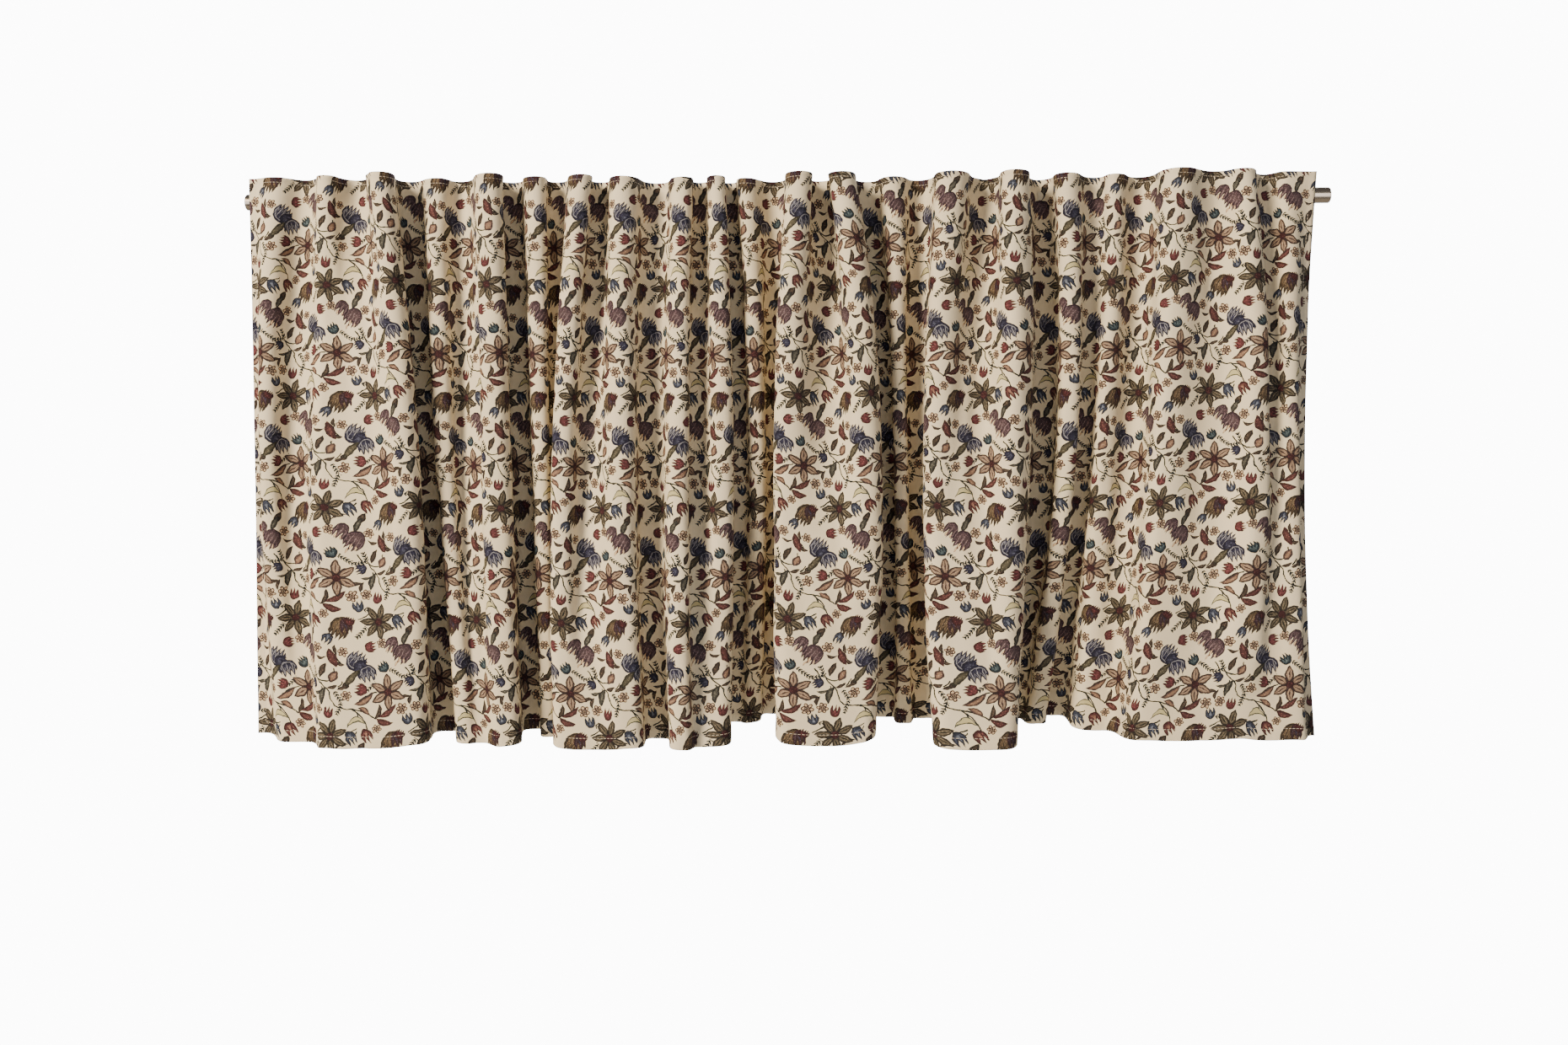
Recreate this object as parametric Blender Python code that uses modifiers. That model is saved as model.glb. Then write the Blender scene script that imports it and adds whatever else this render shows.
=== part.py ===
"""Window valance of printed cotton, hanging in soft uneven folds from a plain round curtain rod.

Frame: the origin is on the rod's axis at the middle of its length.  +X runs along the rod to
the right, -Y points into the room (the printed face), +Z is up.  All sizes are in metres.

The cloth is one sheet that keeps its length.  At every height its line, seen from above, is a
chain of folds: each fold runs from one valley over a crest to the next valley, and how far
the crest stands out follows from the cloth in the fold.
"""
from math import atan2, cos, hypot, pi, radians, tan

import bpy
import numpy as np

MM = 0.001

# Rod: a plain straight round rod, which stands out past the cloth at both ends.
ROD_DIAMETER = 0.016
ROD_LENGTH = 1.077
ROD_SIDES = 48
ROD_EDGE_BEVEL = 0.0006

# Tabs: narrow cloth loops behind the heading, through which the rod passes.
TAB_WIDTH = 0.010
TAB_THICKNESS = 0.0010
TAB_SIDES = 20

# Cloth: one sheet.  The heading is the part that stands above the rod's axis.
CLOTH_THICKNESS = 0.0012
CLOTH_DROP = 0.545
HEADING_HEIGHT = 0.0150
HEADING_RISE = 0.10  # how much higher the top edge is for each metre that it stands forward
HEADING_END_RISE = 0.007  # how much higher it is at its two ends than in the middle
CLOTH_COLUMNS = 208
CLOTH_ROWS = 10
CLOTH_LEFT_EDGE = (-531, -526, -524)  # x at the rod, half way down and at the hem, in mm
CLOTH_LEFT_DEPTH = (3, 6, 7)  # depth there, from the seat, in mm

# Pieces that touch are modelled this far apart.
SEAT_GAP = 0.0003

# Distance from the rod's axis to the middle of the cloth where a valley lies on its tab.
SEAT = ROD_DIAMETER / 2 + SEAT_GAP + TAB_THICKNESS + SEAT_GAP + CLOTH_THICKNESS / 2

# Folds from left to right, in mm.  Each has the x of its crest and of the valley on its right,
# at the rod, half way down and at the hem; the depth of that valley in front of the seat (less
# than 0 is behind it) at the same heights; and the length of cloth from valley to valley.
# A valley whose depth at the rod is 0 is held there by a tab.
FOLDS = (
    # crest x:  rod   mid    hem    valley x: rod   mid    hem   depth: rod  mid  hem   cloth
    (-503, -504, -478, -477, -486, -466, 0, 14, 38, 62),
    (-446, -442, -435, -423, -407, -403, 6, 42, 60, 76),
    (-389, -364, -358, -373, -356, -339, 0, 0, -2, 118),
    (-341, -330, -310, -324, -321, -301, 3, 15, 34, 66),
    (-284, -279, -271, -272, -264, -255, 0, -6, -13, 118),
    (-243, -241, -236, -229, -233, -230, 2, -8, -14, 82),
    (-199, -216, -215, -185, -196, -192, 4, 30, 54, 104),
    (-160, -160, -151, -129, -135, -131, 0, 18, 14, 96),
    (-102, -105, -103, -86, -91, -88, 2, 16, 44, 84),
    (-68, -65, -72, -56, -49, -58, 0, -10, -34, 90),
    (-41, -33, -40, -15, -17, -21, 2, -22, -54, 66),
    (10, -3, 3, 32, 41, 33, 6, 32, 44, 128),
    (53, 73, 60, 81, 100, 98, 0, -12, -42, 124),
    (103, 108, 112, 127, 122, 131, 3, -14, -38, 72),
    (155, 142, 152, 193, 180, 184, 8, 40, 67, 120),
    (216, 210, 194, 252, 252, 223, 0, 0, -28, 122),
    (270, 266, 242, 302, 288, 264, 4, 0, -32, 84),
    (318, 306, 288, 346, 330, 298, 0, 10, 14, 62),
    (375, 357, 332, 418, 406, 372, 20, 38, 60, 106),
    (441, 445, 417, 473, 466, 452, 0, 38, 58, 76),
    (488, 479, 477, 519, 500, 498, 6, 22, 44, 52),
)

# A half fold is level at its valley and its crest, with a straight steep side between two
# bends.  FOLD_FLATNESS is 1 where the level ends reach as far as in a box, and FOLD_SOFTNESS is
# 1 where the bends take all of the line: round folds at the rod, squarer ones at the hem.
FOLD_FLATNESS = 0.85
FOLD_SOFTNESS = (1.0, 0.8, 0.55)  # at the rod, half way down and at the hem
ALONG = (np.arange(120) + 0.5) / 120
FROM_END = np.minimum(ALONG, 1 - ALONG)
CHORD_ANGLES = np.radians(np.linspace(0, 88, 45))


def slope_shares(chord, softness):
    """Share of its steepest slope that a half fold has at each step along its line."""
    level = FOLD_FLATNESS * 0.5 / (1 + tan(chord))
    bend_start = level * (1 - softness)
    bend_end = level + (0.5 - level) * softness
    return np.sin(pi / 2 * np.clip((FROM_END - bend_start) / (bend_end - bend_start), 0.0, 1.0))


def steepest_slope(chord, softness):
    """Steepest slope of a half fold whose ends lie on a straight line at this angle."""
    steepest = np.linspace(0.0, radians(160), 240)
    slopes = steepest[:, None] * slope_shares(chord, softness)
    found = np.arctan2(np.sin(slopes).mean(axis=1), np.cos(slopes).mean(axis=1))
    return np.interp(chord, found, steepest)


def fold_bend(down):
    """Softness of the bends at one height, with the steepest slope for each chord angle."""
    softness = min(at_height(FOLD_SOFTNESS, down), 1.0)
    return softness, [steepest_slope(chord, softness) for chord in CHORD_ANGLES]


def half_fold(across, outward, bend):
    """Line from (0, 0) to (across, outward), level at both ends, with its length."""
    softness, steepest = bend
    chord = atan2(abs(outward), across)
    slopes = np.interp(chord, CHORD_ANGLES, steepest) * slope_shares(chord, softness)
    reach = hypot(np.cos(slopes).mean(), np.sin(slopes).mean())
    length = hypot(across, outward) / reach
    step = length / len(ALONG)
    x = np.concatenate(([0.0], np.cumsum(np.cos(slopes)) * step))
    y = np.concatenate(([0.0], np.cumsum(np.sin(slopes)) * step))
    return x, y if outward >= 0 else -y, length


def fold_line(start, crest_x, end, cloth, bend):
    """Line over one fold whose crest stands out just far enough to use up its cloth."""
    low = max(start[1], end[1])
    high = low + cloth
    for _ in range(40):
        crest_y = (low + high) / 2
        rise = half_fold(crest_x - start[0], crest_y - start[1], bend)
        fall = half_fold(end[0] - crest_x, end[1] - crest_y, bend)
        if rise[2] + fall[2] < cloth:
            low = crest_y
        else:
            high = crest_y
    x = np.concatenate((start[0] + rise[0], crest_x + fall[0][1:]))
    y = np.concatenate((start[1] + rise[1], crest_y + fall[1][1:]))
    shares = np.concatenate((np.full(len(ALONG), rise[2]), np.full(len(ALONG), fall[2])))
    used = np.concatenate(([0.0], np.cumsum(shares)))
    return x, y, used / used[-1]


def at_height(values, down):
    """Value at `down` (0 at the rod, 1 at the hem) of a size given at rod, middle and hem."""
    rod, middle, hem = values
    bow = middle - (rod + hem) / 2
    return rod + (hem - rod) * down + 4 * bow * down * (1 - down)


def cloth_line(down, places):
    """Plan view of the cloth at one height: x and depth at the given places along it."""
    bend = fold_bend(down)
    start = (at_height(CLOTH_LEFT_EDGE, down), at_height(CLOTH_LEFT_DEPTH, down))
    done = 0.0
    xs, depths, lengths = [], [], []
    for fold in FOLDS:
        crest_x = at_height(fold[0:3], down)
        end = (at_height(fold[3:6], down), at_height(fold[6:9], down))
        cloth = fold[9]
        x, y, used = fold_line(start, crest_x, end, cloth, bend)
        xs.append(x)
        depths.append(y)
        lengths.append(done + cloth * used)
        done += cloth
        start = end
    lengths = np.concatenate(lengths)
    x = np.interp(places, lengths, np.concatenate(xs)) * MM
    depth = np.interp(places, lengths, np.concatenate(depths)) * MM
    return x, depth


def cloth_points():
    """Rows of points on the middle of the sheet, from the top edge down to the hem."""
    flat_width = sum(fold[9] for fold in FOLDS)
    places = np.linspace(0.0, flat_width, CLOTH_COLUMNS + 1)
    fall = CLOTH_DROP / CLOTH_ROWS
    rows = []
    for row in range(CLOTH_ROWS + 1):
        down = (row * fall - HEADING_HEIGHT) / (CLOTH_DROP - HEADING_HEIGHT)
        x, depth = cloth_line(down, places)
        y = -SEAT - depth
        if row == 0:
            end_rise = HEADING_END_RISE * (x / (ROD_LENGTH / 2)) ** 2
            z = HEADING_HEIGHT + HEADING_RISE * depth + end_rise
        else:
            sideways = (x - rows[-1][:, 0]) ** 2 + (y - rows[-1][:, 1]) ** 2
            z = rows[-1][:, 2] - np.sqrt(np.maximum(fall ** 2 - sideways, 0.0))
        rows.append(np.column_stack((x, y, z)))
    return rows


def material(name, colour, roughness, metallic):
    made = bpy.data.materials.new(name)
    made.use_nodes = True
    shader = made.node_tree.nodes["Principled BSDF"]
    shader.inputs["Base Color"].default_value = (*colour, 1.0)
    shader.inputs["Roughness"].default_value = roughness
    shader.inputs["Metallic"].default_value = metallic
    return made


def add_object(name, mesh, made_of, collection):
    if not mesh.materials:
        mesh.materials.append(made_of)
    piece = bpy.data.objects.new(name, mesh)
    collection.objects.link(piece)
    return piece


def add_rod(collection, metal):
    bpy.ops.mesh.primitive_cylinder_add(
        vertices=ROD_SIDES, radius=ROD_DIAMETER / 2, depth=ROD_LENGTH, rotation=(0, pi / 2, 0)
    )
    rod = bpy.context.object
    rod.name = "rod"
    for owner in list(rod.users_collection):
        owner.objects.unlink(rod)
    collection.objects.link(rod)
    rod.data.materials.append(metal)
    rod.data.shade_smooth()
    rod.data.set_sharp_from_angle(angle=radians(40))
    edges = rod.modifiers.new("softened ends", "BEVEL")
    edges.width = ROD_EDGE_BEVEL
    edges.segments = 2
    edges.limit_method = "ANGLE"
    edges.angle_limit = radians(40)


def add_cloth(collection, cotton):
    """The sheet: a loft through the fold lines of each height, given its thickness."""
    rows = cloth_points()
    across = CLOTH_COLUMNS + 1
    faces = []
    for row in range(CLOTH_ROWS):
        for column in range(CLOTH_COLUMNS):
            corner = row * across + column
            faces.append((corner, corner + across, corner + across + 1, corner + 1))
    mesh = bpy.data.meshes.new("valance_cloth")
    mesh.from_pydata(np.concatenate(rows).tolist(), [], faces)
    mesh.shade_smooth()
    cloth = add_object("valance_cloth", mesh, cotton, collection)
    body = cloth.modifiers.new("cloth thickness", "SOLIDIFY")
    body.thickness = CLOTH_THICKNESS
    body.offset = 0.0
    body.use_even_offset = True


def add_tabs(collection, cotton):
    """One loop round the rod behind each valley that is held there."""
    inner = (ROD_DIAMETER / 2 + SEAT_GAP) / cos(pi / TAB_SIDES)
    outer = ROD_DIAMETER / 2 + SEAT_GAP + TAB_THICKNESS
    half = TAB_WIDTH / 2
    section = [(-half, -inner, 0), (half, -inner, 0), (half, -outer, 0), (-half, -outer, 0)]
    mesh = bpy.data.meshes.new("tab_section")
    mesh.from_pydata(section, [(0, 1), (1, 2), (2, 3), (3, 0)], [])
    held = [fold[3] * MM for fold in FOLDS if fold[6] == 0]
    for number, valley_x in enumerate(held, start=1):
        tab = add_object(f"back_tab_{number:02d}", mesh, cotton, collection)
        tab.location.x = valley_x
        turn = tab.modifiers.new("loop round the rod", "SCREW")
        turn.axis = "X"
        turn.steps = TAB_SIDES
        turn.render_steps = TAB_SIDES
        turn.use_merge_vertices = True
        turn.merge_threshold = 0.0001


def main():
    for old in list(bpy.data.objects):
        bpy.data.objects.remove(old, do_unlink=True)
    collection = bpy.data.collections.new("window_valance")
    bpy.context.scene.collection.children.link(collection)

    metal = material("dark bronze metal", (0.10, 0.085, 0.070), 0.30, 1.0)
    cotton = material("printed cream cotton", (0.66, 0.58, 0.46), 0.85, 0.0)
    tape = material("plain cream cotton", (0.70, 0.64, 0.53), 0.90, 0.0)

    add_rod(collection, metal)
    add_cloth(collection, cotton)
    add_tabs(collection, tape)


main()
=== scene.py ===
"""Looks of the window valance: a printed cotton cloth in uneven folds on a plain round rod.

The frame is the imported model's: metres, origin on the rod's axis at mid length, +X to the right,
-Y into the room (the printed face), +Z up.  The cloth takes the same fold table as its solid,
on a finer grid, and gets its smaller creases, turned hems, stitches and print here.
"""
from math import atan2, cos, hypot, pi, radians, sin, sqrt, tan

import bpy
import numpy as np
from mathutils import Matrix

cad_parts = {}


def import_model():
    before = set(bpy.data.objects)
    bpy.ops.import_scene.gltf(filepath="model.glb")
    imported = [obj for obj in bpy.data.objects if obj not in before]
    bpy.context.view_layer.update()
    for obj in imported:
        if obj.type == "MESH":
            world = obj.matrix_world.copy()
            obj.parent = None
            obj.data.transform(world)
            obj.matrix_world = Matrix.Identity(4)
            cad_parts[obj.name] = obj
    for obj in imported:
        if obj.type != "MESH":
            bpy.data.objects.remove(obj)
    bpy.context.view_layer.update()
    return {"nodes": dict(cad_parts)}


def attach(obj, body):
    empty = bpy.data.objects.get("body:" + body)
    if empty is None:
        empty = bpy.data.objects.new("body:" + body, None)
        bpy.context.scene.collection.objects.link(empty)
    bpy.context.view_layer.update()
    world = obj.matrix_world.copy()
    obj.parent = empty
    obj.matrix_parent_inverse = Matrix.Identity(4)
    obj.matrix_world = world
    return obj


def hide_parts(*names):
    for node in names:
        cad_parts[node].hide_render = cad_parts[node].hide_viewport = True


MM = 0.001

# ---------------------------------------------------------------- sizes of rod, tabs and cloth
ROD_DIAMETER = 0.016
ROD_LENGTH = 1.077
TAB_WIDTH = 0.010
TAB_THICKNESS = 0.0010
CLOTH_DROP = 0.545
HEADING_HEIGHT = 0.0150
HEADING_RISE = 0.10  # how much higher the top edge is for each metre that it stands forward
HEADING_END_RISE = 0.007  # how much higher it is at its two ends than in the middle
CLOTH_LEFT_EDGE = (-531, -526, -524)  # x at the rod, half way down and at the hem, in mm
CLOTH_LEFT_DEPTH = (3, 6, 7)  # depth there, from the seat, in mm
SEAT_GAP = 0.0003
SEAT = ROD_DIAMETER / 2 + SEAT_GAP + TAB_THICKNESS + SEAT_GAP + 0.0006

# Folds from left to right, in mm, as in the solid: x of the crest and of the valley on its
# right at the rod, half way down and at the hem, that valley's depth in front of the seat at
# the same heights, and the length of cloth from valley to valley.
FOLDS = (
    # crest x:  rod   mid    hem    valley x: rod   mid    hem   depth: rod  mid  hem   cloth
    (-503, -504, -478, -477, -486, -466, 0, 14, 38, 62),
    (-446, -442, -435, -423, -407, -403, 6, 42, 60, 76),
    (-389, -364, -358, -373, -356, -339, 0, 0, -2, 118),
    (-341, -330, -310, -324, -321, -301, 3, 15, 34, 66),
    (-284, -279, -271, -272, -264, -255, 0, -6, -13, 118),
    (-243, -241, -236, -229, -233, -230, 2, -8, -14, 82),
    (-199, -216, -215, -185, -196, -192, 4, 30, 54, 104),
    (-160, -160, -151, -129, -135, -131, 0, 18, 14, 96),
    (-102, -105, -103, -86, -91, -88, 2, 16, 44, 84),
    (-68, -65, -72, -56, -49, -58, 0, -10, -34, 90),
    (-41, -33, -40, -15, -17, -21, 2, -22, -54, 66),
    (10, -3, 3, 32, 41, 33, 6, 32, 44, 128),
    (53, 73, 60, 81, 100, 98, 0, -12, -42, 124),
    (103, 108, 112, 127, 122, 131, 3, -14, -38, 72),
    (155, 142, 152, 193, 180, 184, 8, 40, 67, 120),
    (216, 210, 194, 252, 252, 223, 0, 0, -28, 122),
    (270, 266, 242, 302, 288, 264, 4, 0, -32, 84),
    (318, 306, 288, 346, 330, 298, 0, 10, 14, 62),
    (375, 357, 332, 418, 406, 372, 20, 38, 60, 106),
    (441, 445, 417, 473, 466, 452, 0, 38, 58, 76),
    (488, 479, 477, 519, 500, 498, 6, 22, 44, 52),
)
FLAT_WIDTH = sum(fold[9] for fold in FOLDS) * MM

# Smaller creases, in mm: place along the flat cloth at the top, half way down and at the hem,
# then where the crease starts and ends below the top edge, its half width and its height
# (less than 0 is a trough).
CREASES = (
    # top   mid    hem   from   to   half width  height
    (98, 101, 101, 0, 300, 8, 2.4),
    (119, 127, 127, 0, 260, 7, -2.2),
    (181, 168, 168, 0, 400, 6, -2.6),
    (288, 288, 284, 10, 330, 8, 2.6),
    (339, 336, 326, 150, 520, 8, 2.4),
    (362, 350, 330, 50, 500, 5, -3.0),
    (621, 622, 620, 240, 470, 8, -2.8),
    (801, 802, 802, 0, 130, 6, -2.6),
    (896, 875, 875, 0, 280, 6, -2.8),
    (1400, 1393, 1386, 90, 400, 7, 2.4),
    (1405, 1406, 1406, 0, 90, 5, -3.0),
    (1454, 1445, 1417, 10, 530, 9, 3.4),
    (1524, 1523, 1523, 0, 120, 6, -2.8),
    (1557, 1574, 1533, 40, 520, 9, 3.0),
    (1643, 1637, 1641, 50, 430, 8, 2.6),
    (1776, 1775, 1775, 10, 180, 8, -2.8),
    (1802, 1817, 1819, 10, 430, 9, 2.6),
    (1853, 1847, 1847, 40, 320, 8, -2.4),
)

# ---------------------------------------------------------------- the cloth's line, as in its solid
# A half fold is level at its valley and its crest, with a straight steep side between two
# bends.  FOLD_FLATNESS is 1 where the level ends reach as far as in a box, and FOLD_SOFTNESS is
# 1 where the bends take all of the line: round folds at the rod, squarer ones at the hem.
FOLD_FLATNESS = 0.85
FOLD_SOFTNESS = (1.0, 0.8, 0.55)  # at the rod, half way down and at the hem
ALONG = (np.arange(120) + 0.5) / 120
FROM_END = np.minimum(ALONG, 1 - ALONG)
CHORD_ANGLES = np.radians(np.linspace(0, 88, 45))


def slope_shares(chord, softness):
    """Share of its steepest slope that a half fold has at each step along its line."""
    level = FOLD_FLATNESS * 0.5 / (1 + tan(chord))
    bend_start = level * (1 - softness)
    bend_end = level + (0.5 - level) * softness
    return np.sin(pi / 2 * np.clip((FROM_END - bend_start) / (bend_end - bend_start), 0.0, 1.0))


def steepest_slope(chord, softness):
    """Steepest slope of a half fold whose ends lie on a straight line at this angle."""
    steepest = np.linspace(0.0, radians(160), 240)
    slopes = steepest[:, None] * slope_shares(chord, softness)
    found = np.arctan2(np.sin(slopes).mean(axis=1), np.cos(slopes).mean(axis=1))
    return np.interp(chord, found, steepest)


def fold_bend(down):
    """Softness of the bends at one height, with the steepest slope for each chord angle."""
    softness = min(at_height(FOLD_SOFTNESS, down), 1.0)
    return softness, [steepest_slope(chord, softness) for chord in CHORD_ANGLES]


def half_fold(across, outward, bend):
    """Line from (0, 0) to (across, outward), level at both ends, with its length."""
    softness, steepest = bend
    chord = atan2(abs(outward), across)
    slopes = np.interp(chord, CHORD_ANGLES, steepest) * slope_shares(chord, softness)
    reach = hypot(np.cos(slopes).mean(), np.sin(slopes).mean())
    length = hypot(across, outward) / reach
    step = length / len(ALONG)
    x = np.concatenate(([0.0], np.cumsum(np.cos(slopes)) * step))
    y = np.concatenate(([0.0], np.cumsum(np.sin(slopes)) * step))
    return x, y if outward >= 0 else -y, length


def fold_line(start, crest_x, end, cloth, bend):
    """Line over one fold whose crest stands out just far enough to use up its cloth."""
    low = max(start[1], end[1])
    high = low + cloth
    for _ in range(26):
        crest_y = (low + high) / 2
        rise = half_fold(crest_x - start[0], crest_y - start[1], bend)
        fall = half_fold(end[0] - crest_x, end[1] - crest_y, bend)
        if rise[2] + fall[2] < cloth:
            low = crest_y
        else:
            high = crest_y
    x = np.concatenate((start[0] + rise[0], crest_x + fall[0][1:]))
    y = np.concatenate((start[1] + rise[1], crest_y + fall[1][1:]))
    shares = np.concatenate((np.full(len(ALONG), rise[2]), np.full(len(ALONG), fall[2])))
    used = np.concatenate(([0.0], np.cumsum(shares)))
    return x, y, used / used[-1]


def at_height(values, down):
    """Value at `down` (0 at the rod, 1 at the hem) of a size given at rod, middle and hem."""
    rod, middle, hem = values
    bow = middle - (rod + hem) / 2
    return rod + (hem - rod) * down + 4 * bow * down * (1 - down)


def cloth_line(down, places):
    """Plan view of the cloth at one height: x and depth at the given places along it."""
    bend = fold_bend(down)
    start = (at_height(CLOTH_LEFT_EDGE, down), at_height(CLOTH_LEFT_DEPTH, down))
    done = 0.0
    xs, depths, lengths = [], [], []
    for fold in FOLDS:
        crest_x = at_height(fold[0:3], down)
        end = (at_height(fold[3:6], down), at_height(fold[6:9], down))
        cloth = fold[9]
        x, y, used = fold_line(start, crest_x, end, cloth, bend)
        xs.append(x)
        depths.append(y)
        lengths.append(done + cloth * used)
        done += cloth
        start = end
    lengths = np.concatenate(lengths)
    x = np.interp(places, lengths, np.concatenate(xs)) * MM
    depth = np.interp(places, lengths, np.concatenate(depths)) * MM
    return x, depth


def new_object(name, points, faces, looks):
    """A smooth mesh object in the scene, with its materials in order."""
    mesh = bpy.data.meshes.new(name)
    mesh.from_pydata(points, [], faces)
    mesh.shade_smooth()
    for look in looks:
        mesh.materials.append(look)
    made = bpy.data.objects.new(name, mesh)
    bpy.context.scene.collection.objects.link(made)
    return made


# ---------------------------------------------------------------- cloth surface
COLUMNS = 560
HEM_LINES = (0.0, 0.5, 2.0, 3.9, 5.0, 6.1, 8.5, 12.0)  # rows near the top edge, in mm below it
BASE_LINES = (18.0, 14.5, 11.8, 10.7, 9.6, 7.0, 4.0, 1.8, 0.5, 0.0)  # near the base, above it
BODY_ROWS = 68
CLOTH_THICKNESS = 0.75  # mm, one layer with its nap
HEM_THICKNESS = 1.7  # mm, three layers
EDGE_THICKNESS = 0.9  # mm, where the hem turns back
TOP_HEM, BASE_HEM, SIDE_HEM = 6.0, 12.0, 8.0  # mm
TOP_STITCH, BASE_STITCH, SIDE_STITCH = 5.0, 10.7, 7.0  # mm in from the edge
STITCH_SINK = 0.35  # mm that a row of stitches pulls into the hem
STITCH_SINK_WIDTH = 0.9  # mm
EDGE_WIDTH = 0.3  # mm, the outermost line of the grid
TURN_SOFTNESS, SIDE_TURN_SOFTNESS = 0.3, 0.5  # mm, of the steps where the hems end
CREASE_FADE = 60.0  # mm over which a crease fades at each end, where it is long enough
WAVE_LENGTHS = (150, 110, 83, 61, 45, 34, 26)  # mm along the cloth
WAVE_HEIGHT = 0.5  # mm, of the longest wave
PUCKER_LENGTHS = (19, 13, 9.5)  # mm along the hems
PUCKER_HEIGHT = 0.28  # mm


def grid_lines():
    """Places along the cloth and below its top edge, in mm, where the grid's lines run."""
    places = np.linspace(0.0, FLAT_WIDTH / MM, COLUMNS + 1)
    drop = CLOTH_DROP / MM
    body = np.linspace(HEM_LINES[-1], drop - BASE_LINES[0], BODY_ROWS + 1)[1:-1]
    downs = np.concatenate((HEM_LINES, body, [drop - line for line in BASE_LINES]))
    return places, downs


def hung_points(places, downs):
    """Middle of the sheet on its folds: each column keeps the cloth's own length."""
    points = np.zeros((len(downs), len(places), 3))
    for row, from_top in enumerate(downs * MM):
        down = (from_top - HEADING_HEIGHT) / (CLOTH_DROP - HEADING_HEIGHT)
        x, depth = cloth_line(down, places)
        points[row, :, 0] = x
        points[row, :, 1] = -SEAT - depth
        if row == 0:
            end_rise = HEADING_END_RISE * (x / (ROD_LENGTH / 2)) ** 2
            points[row, :, 2] = HEADING_HEIGHT + HEADING_RISE * depth + end_rise
        else:
            fall = (downs[row] - downs[row - 1]) * MM
            step = points[row, :, :2] - points[row - 1, :, :2]
            sideways = (step ** 2).sum(axis=1)
            lowering = np.sqrt(np.maximum(fall ** 2 - sideways, 0.0))
            points[row, :, 2] = points[row - 1, :, 2] - lowering
    return points


def face_normals(points):
    """Unit normals of the printed face at every point of the grid."""
    down = np.gradient(points, axis=0)
    across = np.gradient(points, axis=1)
    normals = np.cross(down, across)
    return normals / np.linalg.norm(normals, axis=2, keepdims=True)


def crease_heights(places, downs):
    """How far each point stands out because of the smaller creases, in mm."""
    share = downs / downs[-1]
    heights = np.zeros((len(downs), len(places)))
    for top, middle, hem, first, last, half_width, height in CREASES:
        line = at_height((top, middle, hem), share)
        fade = min(CREASE_FADE, (last - first) / 2)
        starts = np.clip((downs - first) / fade + (first == 0), 0, 1)
        ends = np.clip((last - downs) / fade, 0, 1)
        window = starts * starts * (3 - 2 * starts) * ends * ends * (3 - 2 * ends)
        offset = (places[None, :] - line[:, None]) / half_width
        heights += height * window[:, None] * np.exp(-offset * offset)
    return heights


def soft_waves(places, downs):
    """Low uneven waves of hanging cotton, in mm, with small puckers along the hems."""
    rng = np.random.default_rng(7)
    across, down = np.meshgrid(places, downs)
    waves = np.zeros(across.shape)
    for length in WAVE_LENGTHS:
        lean = rng.uniform(-0.25, 0.25)
        shift = rng.uniform(0, 2 * pi)
        swell = 0.6 + 0.4 * np.sin(2 * pi * down / rng.uniform(260, 420) + rng.uniform(0, 2 * pi))
        size = WAVE_HEIGHT * (length / WAVE_LENGTHS[0]) ** 0.5
        waves += size * swell * np.sin(2 * pi * (across + lean * down) / length + shift)
    from_base = downs[-1] - down
    near_hems = np.exp(-(from_base / 16) ** 2) + 0.7 * np.exp(-(down / 9) ** 2)
    puckers = np.zeros(across.shape)
    for length in PUCKER_LENGTHS:
        bend = 2.5 * np.sin(across / rng.uniform(30, 60) + rng.uniform(0, 2 * pi))
        puckers += np.sin(2 * pi * (across + bend) / length + rng.uniform(0, 2 * pi)) / 3
    return waves + PUCKER_HEIGHT * near_hems * puckers


def step_at(values, edge, softness):
    """1 below the edge and 0 above it, with a soft step between."""
    return 1 / (1 + np.exp((values - edge) / softness))


def thicknesses(places, downs):
    """Thickness and sunk stitch rows at every point, in mm."""
    across, down = np.meshgrid(places, downs)
    from_base = downs[-1] - down
    from_side = np.minimum(across, places[-1] - across)
    plain = 1 - step_at(down, TOP_HEM, TURN_SOFTNESS)
    plain = plain * (1 - step_at(from_base, BASE_HEM, TURN_SOFTNESS))
    plain = plain * (1 - step_at(from_side, SIDE_HEM, SIDE_TURN_SOFTNESS))
    hem = 1 - plain
    thick = CLOTH_THICKNESS + (HEM_THICKNESS - CLOTH_THICKNESS) * hem
    from_edge = np.minimum(np.minimum(down, from_base), from_side)
    thick = np.where(from_edge < EDGE_WIDTH, EDGE_THICKNESS, thick)
    sunk = np.zeros(across.shape)
    for distance, line in ((down, TOP_STITCH), (from_base, BASE_STITCH), (from_side, SIDE_STITCH)):
        sunk = np.maximum(sunk, np.exp(-((distance - line) / STITCH_SINK_WIDTH) ** 2))
    return thick, STITCH_SINK * sunk


def cloth_surfaces():
    """Front and back points of the finished cloth, with the normals of its printed face."""
    places, downs = grid_lines()
    points = hung_points(places, downs)
    normals = face_normals(points)
    raised = crease_heights(places, downs) + soft_waves(places, downs)
    points = points + normals * (raised * MM)[:, :, None]
    normals = face_normals(points)
    thick, sunk = thicknesses(places, downs)
    half = ((thick / 2 - sunk) * MM)[:, :, None]
    return places, downs, points + normals * half, points - normals * half, normals


# The map for baking lays the cloth out in four strips, each half its width: two tall ones for
# the printed face and two low ones for the reverse.  Sizes are shares of the map's side.
FACE_STRIP, REVERSE_STRIP, STRIP_GAP, MAP_BORDER = 0.385, 0.108, 0.003, 0.002


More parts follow.
